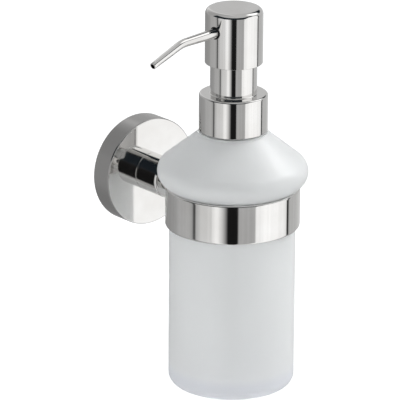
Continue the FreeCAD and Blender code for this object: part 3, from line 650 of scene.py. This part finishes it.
def makeHousing():
    # heights are counted up from the nozzle's mouth
    shape = housingShape
    low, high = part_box("pump_housing")
    foot, top, flange = low.z, high.z, (high.x - low.x) / 2
    flangeTop = top - shape["flangeTop"]
    flangeFoot = flangeTop - shape["flange"]
    barrel, nozzle, edge = shape["barrel"], shape["nozzle"], shape["edge"]
    beads = []
    for height in shape["beads"]:
        middle = foot + height
        for out, rise in ((0, shape["beadFoot"]), (shape["bead"], shape["beadTop"]),
                          (shape["bead"], -shape["beadTop"]), (0, -shape["beadFoot"])):
            beads.append((barrel + out, middle + rise, shape["beadRound"], 2))
    piece = turnedPiece("pumpHousing", [
        (shape["bore"], top, edge, 3), (shape["hub"], top, shape["hubEdge"], 4),
        (shape["hub"], flangeTop, edge, 3), (flange, flangeTop, edge, 4),
        (flange, flangeFoot, shape["flangeEdge"], 3), (barrel, flangeFoot, shape["fillet"], 4), *beads,
        (barrel, foot + shape["taperTop"], shape["taperRound"], 4),
        (nozzle, foot + shape["taperFoot"], shape["taperRound"], 4), (nozzle, foot, edge, 3),
        (shape["socket"], foot, edge, 3), (shape["socket"], foot + shape["tubeStop"]),
        (shape["seat"], foot + shape["tubeStop"]), (shape["seat"], foot + shape["seatTop"]),
        (shape["chamber"], foot + shape["seatTop"]), (shape["chamber"], foot + shape["floor"]),
        (shape["bore"], foot + shape["floor"]),
    ], steps=128)
    return settle(piece, "pump", "white_plastic", pumpPlastic, "pump_housing")


guideShape = {
    "bore": 0.00358, "plug": 0.00594, "roof": 0.0115, "skirt": 0.0081, "skirtFoot": 0.0085,
    "edge": 0.0006, "soft": 0.0003,
}


def makeGuide():
    # heights are counted up from the plug's foot
    shape = guideShape
    low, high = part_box("stem_guide")
    radius, foot, soft = (high.x - low.x) / 2, low.z, shape["soft"]
    piece = turnedPiece("stemGuide", [
        (shape["bore"], foot, soft, 3), (shape["plug"], foot, soft, 3), (shape["plug"], foot + shape["roof"]),
        (shape["skirt"], foot + shape["roof"]), (shape["skirt"], foot + shape["skirtFoot"], soft, 3),
        (radius, foot + shape["skirtFoot"], soft, 3), (radius, high.z, shape["edge"], 6),
        (shape["bore"], high.z, soft, 3),
    ], steps=128)
    return settle(piece, "pump", "white_plastic", pumpPlastic, "stem_guide")


tubeShape = {"wall": 0.0009, "slant": 38, "slantRing": 0.008, "footBand": 0.0001, "edge": 0.0001}


def makeDipTube():
    # the foot is cut on the slant, so that it can't seal itself against the floor
    shape = tubeShape
    low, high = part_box("dip_tube")
    radius = (high.x - low.x) / 2
    bore = radius - shape["wall"]
    slant = math.radians(shape["slant"])
    ring = low.z + shape["slantRing"]
    piece = turnedPiece("dipTube", [
        (bore, low.z), (radius, low.z), (radius, ring), (radius, 0), (radius, high.z, shape["edge"], 2),
        (bore, high.z, shape["edge"], 2), (bore, 0), (bore, ring),
    ], steps=72)
    for vertex in piece.data.vertices:
        vertex.select = vertex.co.z < low.z + shape["footBand"]
    for part in (*piece.data.edges, *piece.data.polygons):
        part.select = False
    bpy.context.view_layer.objects.active = piece
    bpy.ops.object.mode_set(mode="EDIT")
    bpy.ops.mesh.select_mode(type="VERT")
    centre = bottleAxis + up * low.z
    bpy.ops.transform.resize(value=(1, 1 / math.cos(slant), 1), center_override=centre)
    turnAbout(slant, "X", centre)
    bpy.ops.transform.translate(value=(0, 0, radius * math.tan(slant)))
    bpy.ops.object.mode_set(mode="OBJECT")
    return settle(piece, "pump", "white_plastic", pumpPlastic, "dip_tube")


stemShape = {"bore": 0.0018, "room": 0.0026, "roomDepth": 0.005, "edge": 0.0003}


def makeStem():
    shape = stemShape
    low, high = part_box("pump_stem")
    radius, edge = (high.x - low.x) / 2, shape["edge"]
    roomFoot = high.z - shape["roomDepth"]
    piece = turnedPiece("pumpStem", [
        (shape["bore"], low.z), (radius, low.z, edge, 3), (radius, high.z, edge, 3),
        (shape["room"], high.z, edge, 3), (shape["room"], roomFoot), (shape["bore"], roomFoot),
    ], steps=96)
    return settle(piece, "plunger", "white_plastic", pumpPlastic, "pump_stem")


springShape = {"wire": 0.0004, "coil": 0.0049, "turns": 9, "steps": 40, "sides": 14, "travel": 0.012}


def makeSpring():
    # one round section wound up a helix, which shortens as the head is pressed
    shape = springShape
    low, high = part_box("piston_spring")
    wire, height = shape["wire"], high.z - low.z
    bpy.ops.object.select_all(action="DESELECT")
    bpy.ops.mesh.primitive_circle_add(vertices=shape["sides"], radius=wire, location=(shape["coil"], 0, 0),
                                      rotation=(math.pi / 2, 0, 0))
    piece = bpy.context.active_object
    piece.name = "pistonSpring"
    piece.data.name = "pistonSpring"
    bpy.ops.object.transform_apply(location=True, rotation=True, scale=True)
    coil = piece.modifiers.new("coil", "SCREW")
    coil.steps = coil.render_steps = shape["steps"]
    coil.iterations = shape["turns"]
    coil.screw_offset = (height - 2 * wire) / shape["turns"]
    applyModifiers(piece)
    startEditing(piece)
    bpy.ops.mesh.remove_doubles(threshold=weldDistance)
    bpy.ops.mesh.fill_holes(sides=0)
    bpy.ops.mesh.select_all(action="SELECT")
    bpy.ops.mesh.normals_make_consistent(inside=False)
    bpy.ops.transform.translate(value=bottleAxis + up * (low.z + wire))
    bpy.ops.object.mode_set(mode="OBJECT")
    settle(piece, "pump", "plain_steel", plainSteel, "piston_spring", angle=60)
    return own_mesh(piece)


pistonShape = {
    "bore": 0.0018, "stem": 0.00353, "boss": 0.0038, "bossHeight": 0.0014, "lip": 0.0012,
    "waist": 0.0007, "waistRound": 0.0003, "floor": 0.0016, "edge": 0.0002,
}


def makePiston():
    # a sealing lip at each end, and a waist between them
    shape = pistonShape
    low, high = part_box("pump_piston")
    rim, foot, edge = (high.x - low.x) / 2, low.z + shape["bossHeight"], shape["edge"]
    waist, lip, soft = rim - shape["waist"], shape["lip"], shape["waistRound"]
    piece = turnedPiece("pumpPiston", [
        (shape["bore"], low.z, edge, 3), (shape["boss"], low.z, edge, 3), (shape["boss"], foot, edge, 3),
        (rim, foot, edge, 3), (rim, foot + lip), (waist, foot + lip + shape["waist"], soft, 3),
        (waist, high.z - lip - shape["waist"], soft, 3), (rim, high.z - lip), (rim, high.z, edge, 3),
        (shape["stem"], high.z, edge, 3), (shape["stem"], foot + shape["floor"]),
        (shape["bore"], foot + shape["floor"]),
    ], steps=96)
    return settle(piece, "plunger", "white_plastic", pumpPlastic, "pump_piston")


cageShape = {
    "height": 0.0016, "boss": 0.0038, "edge": 0.0002, "holes": 4, "circle": 0.0022, "hole": 0.001,
    "firstHole": 0.3,
}


def makeCage():
    # the first hole stands part of a step round, clear of the disc's own edges
    shape = cageShape
    low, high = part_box("ball_cage")
    radius, edge, step = (high.x - low.x) / 2, shape["edge"], low.z + shape["height"]
    piece = turnedPiece("ballCage", [
        (0, low.z), (radius, low.z, edge, 3), (radius, step, edge, 3), (shape["boss"], step, edge, 3),
        (shape["boss"], high.z, edge, 3), (0, high.z),
    ], closed=False, steps=96)
    for number in range(shape["holes"]):
        turn = 2 * math.pi * (number + shape["firstHole"]) / shape["holes"]
        around = Vector((math.cos(turn), math.sin(turn), 0)) * shape["circle"]
        spot = bottleAxis + around + up * (low.z - overshoot)
        drill(piece, spot, up, shape["hole"], high.z - low.z + 2 * overshoot, sides=32)
    return settle(piece, "pump", "white_plastic", pumpPlastic, "ball_cage")


for make in (makeSpring, makePiston, makeCage, makeGasket, makeHousing, makeGuide, makeDipTube, makeStem):
    make()
print("pump ready")


# collar and head

insertShape = {"bore": 0.014, "hole": 0.0083, "top": 0.0013, "edge": 0.0005, "soft": 0.0003}


def makeClosureInsert():
    shape = insertShape
    low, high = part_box("closure_insert")
    radius, soft = (high.x - low.x) / 2, shape["soft"]
    piece = turnedPiece("closureInsert", [
        (shape["bore"], low.z, soft, 3), (radius, low.z, soft, 3), (radius, high.z, shape["edge"], 4),
        (shape["hole"], high.z, soft, 3), (shape["hole"], high.z - shape["top"], soft, 3),
        (shape["bore"], high.z - shape["top"], soft, 3),
    ], steps=144)
    return settle(piece, "closure", "white_plastic", pumpPlastic, "closure_insert")


collarShape = {
    "sheet": 0.0008, "edge": 0.0012, "innerEdge": 0.0004, "cove": 0.0004, "coveInside": 0.0028,
    "sleeve": 0.01135, "lip": 0.0003,
}


def makeCollar():
    shape = collarShape
    low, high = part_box("collar_shell")
    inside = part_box("closure_insert")[1].z
    radius = (high.x - low.x) / 2
    sheet, sleeve, lip = shape["sheet"], shape["sleeve"], shape["lip"]
    step = inside + sheet
    piece = turnedPiece("collarShell", [
        (radius - sheet, low.z, lip, 3), (radius, low.z, lip, 4), (radius, (low.z + step) / 2),
        (radius, step, shape["edge"], 10), (sleeve, step, shape["cove"], 14), (sleeve, high.z, lip, 4),
        (sleeve - sheet, high.z, lip, 4), (sleeve - sheet, inside, shape["coveInside"], 10),
        (radius - sheet, inside, shape["innerEdge"], 4),
    ], steps=224)
    return settle(piece, "closure", "polished_steel", uprightSteel, "collar_shell")


headShape = {
    "sheet": 0.0008, "edge": 0.0031, "lip": 0.0003, "crown": 0.5, "spoutDrop": 0.0099,
    "spoutHole": 0.00313, "drillFrom": 0.6, "sideStep": 0.001, "heading": 189,
}
headLow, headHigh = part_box("head_shell")
# where the spout's axis meets the bottle's
headAxis = bottleAxis + up * (headHigh.z - headShape["spoutDrop"])
heading = math.radians(headShape["heading"])
spoutDirection = Vector((math.cos(heading), math.sin(heading), 0))


def aimAlongSpout(piece):
    # swing a piece built towards +Y round to the spout's heading
    startEditing(piece)
    turnAbout(heading - math.pi / 2, "Z", bottleAxis)
    bpy.ops.object.mode_set(mode="OBJECT")


def makeHead():
    # the side has a few rings beside the spout, so that its hole leaves the rest smooth
    shape = headShape
    radius = (headHigh.x - headLow.x) / 2
    sheet, lip = shape["sheet"], shape["lip"]
    aroundSpout = [(radius, headAxis.z + shape["sideStep"] * step) for step in range(-5, 6)]
    piece = turnedPiece("headShell", [
        (0, headHigh.z - sheet), (radius - sheet, headHigh.z - sheet, shape["edge"] - sheet, 8),
        (radius - sheet, headLow.z, lip, 3), (radius, headLow.z, lip, 4),
        (radius, (headLow.z + headAxis.z) / 2), *aroundSpout, (radius, headHigh.z, shape["edge"], 16),
        (radius * shape["crown"], headHigh.z), (0, headHigh.z),
    ], closed=False, steps=256)
    drill(piece, headAxis + spoutDirection * radius * shape["drillFrom"], spoutDirection,
          shape["spoutHole"], radius)
    return settle(piece, "head", "polished_steel", uprightSteel, "head_shell")


liningShape = {
    "socket": 0.0056, "stem": 0.00353, "stemTop": 0.0085, "stemEdge": 0.0003, "foot": 0.0099,
    "footRound": 0.0004, "footEdge": 0.0002, "spout": 0.0131, "edge": 0.0023,
    "channel": 0.0013, "channelStart": 0.0001, "channelOverlap": 0.0002,
    "spoutStart": 0.005, "spoutSocket": 0.00264, "recessStart": 0.0122, "recess": 0.00313, "sideEnd": 0.016,
}


def makeHeadLining():
    # heights are counted up from the socket's mouth
    shape = liningShape
    low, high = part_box("head_lining")
    radius, foot = (high.x - low.x) / 2, low.z
    piece = turnedPiece("headLining", [
        (0, foot + shape["spout"]), (shape["channel"], foot + shape["spout"]),
        (shape["channel"], foot + shape["stemTop"]), (shape["stem"], foot + shape["stemTop"]),
        (shape["stem"], foot, shape["stemEdge"], 3), (shape["socket"], foot, shape["stemEdge"], 3),
        (shape["socket"], foot + shape["foot"], shape["footRound"], 4),
        (radius, foot + shape["foot"], shape["footEdge"], 3),
        (radius, high.z, shape["edge"], 6), (0, high.z),
    ], closed=False, steps=144)
    # the channel, the spout's socket and the recess for the black ring of painted shade, each wider than the
    # one before
    channelEnd = shape["spoutStart"] + shape["channelOverlap"]
    for start, bore, end in ((shape["channelStart"], "channel", channelEnd),
                             (shape["spoutStart"], "spoutSocket", shape["sideEnd"]),
                             (shape["recessStart"], "recess", shape["sideEnd"])):
        drill(piece, headAxis + spoutDirection * start, spoutDirection, shape[bore], end - start, sides=64)
    return settle(piece, "head", "white_plastic", pumpPlastic, "head_lining")


spoutShape = {
    "inside": 0.005, "run": 0.034, "runSteps": 8, "bend": 18.0, "sweep": 0.022, "bendSteps": 12,
    "end": 0.0177, "endSteps": 8, "root": 0.0026, "tip": 0.00165, "wallRoot": 0.0009, "wallTip": 0.00045,
    "sides": 64, "lip": 0.0002,
}


def makeSpout():
    # a ring of vertices run out along the spout, then back inside it as its bore
    shape = spoutShape
    start = headAxis + Vector((0, shape["inside"], 0))
    bend = math.radians(shape["bend"])
    straight = shape["run"] - shape["inside"]
    runSteps, bendSteps, endSteps = shape["runSteps"], shape["bendSteps"], shape["endSteps"]
    steps = [(straight / runSteps, 0.0)] * runSteps
    steps += [(shape["sweep"] * bend / bendSteps, bend / bendSteps)] * bendSteps
    steps += [(shape["end"] / endSteps, 0.0)] * endSteps
    length = straight + shape["sweep"] * bend + shape["end"]
    piece = beginPiece("spoutTube", start)
    bpy.ops.mesh.delete(type="VERT")
    bpy.ops.mesh.primitive_circle_add(vertices=shape["sides"], radius=shape["root"], location=start,
                                      rotation=(math.pi / 2, 0, 0))
    middle, slope, travelled, radius = start.copy(), 0.0, 0.0, shape["root"]

    def grow(newRadius):
        size = newRadius / radius
        bpy.ops.transform.resize(value=(size, size, size), center_override=middle)
        return newRadius

    def advance(step, change):
        nonlocal middle, slope
        slope += change / 2
        move = Vector((0, math.cos(slope), -math.sin(slope))) * step
        extend(move)
        middle += move
        turnAbout(-change, "X", middle)
        slope += change / 2

    for step, change in steps:
        advance(step, change)
        travelled += step
        radius = grow(shape["root"] + (shape["tip"] - shape["root"]) * travelled / length)
    # the mouth, with its edges eased
    advance(shape["lip"] / 2, 0.0)
    radius = grow(shape["tip"] - shape["lip"] / 3)
    advance(shape["lip"] / 4, 0.0)
    radius = grow(shape["tip"] - shape["lip"])
    extend((0, 0, 0))
    radius = grow(shape["tip"] - shape["wallTip"])
    for step, change in reversed(steps):
        advance(-step, -change)
        travelled -= step
        wall = shape["wallRoot"] + (shape["wallTip"] - shape["wallRoot"]) * travelled / length
        radius = grow(shape["root"] + (shape["tip"] - shape["root"]) * travelled / length - wall)
    # close the inner end between the tube and its bore
    bpy.ops.mesh.select_all(action="DESELECT")
    bpy.ops.mesh.select_non_manifold()
    bpy.ops.mesh.bridge_edge_loops()
    faceOutwards()
    aimAlongSpout(piece)
    return settle(piece, "head", "polished_steel", uprightSteel, "spout_tube")


shadeRingShape = {"outer": 0.00309, "inner": 0.00262, "start": 0.01225, "end": 0.0139, "round": 0.00012}


# painted shade: a black rubber ring round the spout's root, where the hole's rim is only in shade
def makeShadeRing():
    shape = shadeRingShape
    start, end = bottleAxis.y + shape["start"], bottleAxis.y + shape["end"]
    piece = turnedPiece("spoutShadeRing", [
        (shape["inner"], start), (shape["outer"], start), (shape["outer"], end, shape["round"], 3),
        (shape["inner"], end, shape["round"], 3),
    ], axis="Y", centre=Vector((bottleAxis.x, 0, headAxis.z)), steps=96)
    aimAlongSpout(piece)
    return settle(piece, "head", "dark_rubber", gasketRubberAndShadeRing, "spout_seal")


for make in (makeClosureInsert, makeCollar, makeHeadLining, makeHead, makeSpout, makeShadeRing):
    make()
print("collar, head and spout ready")


# floor, light and camera

cameraShape = {
    "place": (-1.4196, -1.7860, 0.7625), "target": (-0.0121, -0.0646, 0.0019), "roll": 0.40,
    "lens": 436.4, "sensor": 36, "farthest": 100,
}


def addCamera():
    shape = cameraShape
    bpy.ops.object.select_all(action="DESELECT")
    bpy.ops.object.camera_add(location=shape["place"])
    camera = bpy.context.active_object
    towards = Vector(shape["target"]) - camera.location
    turn = towards.to_track_quat("-Z", "Y") @ Quaternion((0, 0, 1), math.radians(shape["roll"]))
    camera.rotation_euler = turn.to_euler()
    camera.data.lens = shape["lens"]
    camera.data.sensor_width = shape["sensor"]
    camera.data.clip_end = shape["farthest"]
    bpy.context.scene.camera = camera
    return camera


floorShape = {
    "size": 60, "height": -0.45, "cloud": 0.7, "dark": (0.93, 0.93, 0.93), "light": (0.95, 0.95, 0.95),
    "rough": 0.9, "glow": 0.40,
}


def addFloor():
    shape = floorShape
    bpy.ops.object.select_all(action="DESELECT")
    bpy.ops.mesh.primitive_plane_add(size=shape["size"], location=(0, 0, shape["height"]))
    floor = bpy.context.active_object
    floor.name = "floor"
    material, tree, shader = newMaterial("paleFloor")
    tone = noise(tree, shape["cloud"], 2.0)
    tree.links.new(shades(tree, tone, shape["dark"], shape["light"]), shader.inputs["Base Color"])
    shader.inputs["Roughness"].default_value = shape["rough"]
    shader.inputs["Emission Color"].default_value = (1, 1, 1, 1)
    shader.inputs["Emission Strength"].default_value = shape["glow"]
    floor.data.materials.append(material)
    floor.visible_glossy = False


# brightness all round the studio, in degrees from the camera's side, growing to its right
wallBands = [
    (-180, 0.30), (-150, 0.33), (-118, 0.38), (-106, 0.48), (-80, 0.53), (-74, 0.42), (-71, 0.08),
    (-68, 0.08), (-66, 0.56), (-57, 0.72), (-48, 0.80), (-38, 0.82), (-35, 0.98), (-29, 1.18), (-24, 1.04),
    (-18, 0.72), (-13, 0.34), (-9, 0.012), (8, 0.012), (10, 0.50), (38, 0.50), (40, 1.12), (60, 1.27),
    (88, 1.22), (104, 1.02), (106, 0.02), (110, 0.02), (112, 0.57), (135, 0.58), (155, 0.68), (180, 0.50),
]
ceilingBands = [
    (-180, 0.60), (-172, 0.64), (-163, 0.84), (-154, 0.62), (-140, 0.46), (-120, 0.42), (-85, 0.50),
    (0, 0.58), (90, 0.62), (180, 0.60),
]
# how high the walls reach, as the sine of the angle: high in front, low behind
wallTops = [
    (-180, 0.02), (-118, 0.02), (-104, 0.30), (-60, 0.34), (-40, 0.30), (40, 0.30), (62, 0.56),
    (90, 0.56), (104, 0.42), (118, 0.02), (180, 0.02),
]
# where a dark gap is left between the walls and the ceiling: 1 is a full gap
gapBands = [
    (-180, 0), (-100, 0), (-92, 1), (105, 1), (110, 0), (128, 0), (132, 1), (158, 1), (166, 0), (180, 0),
]
gapShape = {"behind": 118, "foot": 0.36, "top": 0.71, "soft": 0.04, "colour": (0.014, 0.020, 0.026, 1)}
# one bright round patch high on the right
patchShape = {"turn": 118, "rise": 46, "outside": 0.94, "inside": 0.97, "level": 1.5}
studioShape = {
    "blend": 0.03, "streaks": 45.0, "streakLow": 0.96, "streakHigh": 1.04, "dome": (0.79, 0.798, 0.806, 1),
}


def bandRamp(tree, turn, bands):
    ramp = tree.nodes.new("ShaderNodeValToRGB")
    spots = ramp.color_ramp.elements
    while len(spots) < len(bands):
        spots.new(0.5)
    for spot, (degrees, level) in zip(spots, bands):
        spot.position = (degrees + 180) / 360
    for spot, (degrees, level) in zip(spots, bands):
        spot.color = (level, level, level, 1)
    tree.links.new(turn, ramp.inputs["Fac"])
    return ramp.outputs["Color"]


def scaleColour(tree, colour, amount):
    node = tree.nodes.new("ShaderNodeVectorMath")
    node.operation = "SCALE"
    tree.links.new(colour, node.inputs[0])
    tree.links.new(amount, node.inputs["Scale"])
    return node.outputs["Vector"]


def addStudio(camera):
    # soft even light for matte things, and softboxes with dark gaps between them for polished ones
    blend = studioShape["blend"]
    world = bpy.data.worlds.new("studio")
    bpy.context.scene.world = world
    world.use_nodes = True
    tree = world.node_tree
    direction = tree.nodes.new("ShaderNodeTexCoord")
    parts = tree.nodes.new("ShaderNodeSeparateXYZ")
    tree.links.new(direction.outputs["Generated"], parts.inputs["Vector"])
    height = parts.outputs["Z"]
    cameraSide = math.atan2(camera.location.y, camera.location.x)
    azimuth = compute(tree, "ARCTAN2", parts.outputs["Y"], parts.outputs["X"])
    away = compute(tree, "WRAP", compute(tree, "SUBTRACT", azimuth, cameraSide), math.pi, -math.pi)
    turn = compute(tree, "MULTIPLY_ADD", away, 1 / (2 * math.pi), 0.5)
    sideways = compute(tree, "ABSOLUTE", away)
    behind = compute(tree, "GREATER_THAN", sideways, math.radians(gapShape["behind"]))
    # the walls, and the ceiling above them
    walls = bandRamp(tree, turn, wallBands)
    ceiling = bandRamp(tree, turn, ceilingBands)
    tops = bandRamp(tree, turn, wallTops)
    above = compute(tree, "SUBTRACT", height, tops)
    seen = mixColours(tree, spread(tree, above, 0.0, 1.0, -blend, blend), walls, ceiling)
    # the dark gap between them
    start = compute(tree, "MAXIMUM", tops, compute(tree, "MULTIPLY", behind, gapShape["foot"]))
    foot = spread(tree, compute(tree, "SUBTRACT", height, start), 0.0, 1.0, -blend, 0.0)
    top = spread(tree, height, 1.0, 0.0, gapShape["top"], gapShape["top"] + gapShape["soft"])
    gap = compute(tree, "MULTIPLY", compute(tree, "MULTIPLY", foot, top), bandRamp(tree, turn, gapBands))
    seen = mixColours(tree, gap, seen, gapShape["colour"])
    # the patch
    aim = math.radians(patchShape["turn"]) + cameraSide
    rise = math.radians(patchShape["rise"])
    patch = tree.nodes.new("ShaderNodeVectorMath")
    patch.operation = "DOT_PRODUCT"
    patch.inputs[1].default_value = (math.cos(rise) * math.cos(aim), math.cos(rise) * math.sin(aim),
                                     math.sin(rise))
    tree.links.new(direction.outputs["Generated"], patch.inputs[0])
    glow = spread(tree, patch.outputs["Value"], 0.0, 1.0, patchShape["outside"], patchShape["inside"])
    level = patchShape["level"]
    seen = mixColours(tree, glow, seen, (level, level, level, 1))
    # faint upright streaks, as cloth has
    streaks = tree.nodes.new("ShaderNodeTexNoise")
    streaks.noise_dimensions = "1D"
    streaks.inputs["Detail"].default_value = 2.0
    streaks.inputs["Scale"].default_value = studioShape["streaks"]
    tree.links.new(turn, streaks.inputs["W"])
    weave = spread(tree, streaks.outputs["Fac"], studioShape["streakLow"], studioShape["streakHigh"])
    seen = scaleColour(tree, seen, weave)
    # only reflections see all this: the rest is lit by an even dome
    rays = tree.nodes.new("ShaderNodeLightPath")
    through = compute(tree, "SUBTRACT", 1.0, rays.outputs["Is Transmission Ray"])
    mirrored = compute(tree, "MULTIPLY", rays.outputs["Is Glossy Ray"], through)
    light = mixColours(tree, mirrored, studioShape["dome"], seen)
    tree.links.new(light, tree.nodes["Background"].inputs["Color"])


# turn is in degrees from the camera's side, growing to its right
softboxShape = {"turn": 114, "rise": 40, "distance": 2.2, "size": 0.5, "power": 27}


def addSoftbox(name, camera, shape, pieces):
    # a lamp that only the given pieces receive
    around = math.atan2(camera.location.y, camera.location.x) + math.radians(shape["turn"])
    lift = math.radians(shape["rise"])
    aim = Vector((math.cos(lift) * math.cos(around), math.cos(lift) * math.sin(around), math.sin(lift)))
    place = bottleAxis + shape["distance"] * aim
    bpy.ops.object.select_all(action="DESELECT")
    bpy.ops.object.light_add(type="AREA", location=place)
    lamp = bpy.context.active_object
    lamp.name = name
    lamp.data.size = shape["size"]
    lamp.data.energy = shape["power"]
    lamp.rotation_euler = (bottleAxis - place).to_track_quat("-Z", "Y").to_euler()
    lit = bpy.data.collections.new(name + "Lit")
    for piece in pieces:
        lit.objects.link(piece)
    lamp.light_linking.receiver_collection = lit


camera = addCamera()
addFloor()
addStudio(camera)
addSoftbox("shoulderSoftbox", camera, softboxShape, [glassBottle])
bpy.context.scene.view_settings.view_transform = "Standard"
print("stage ready")
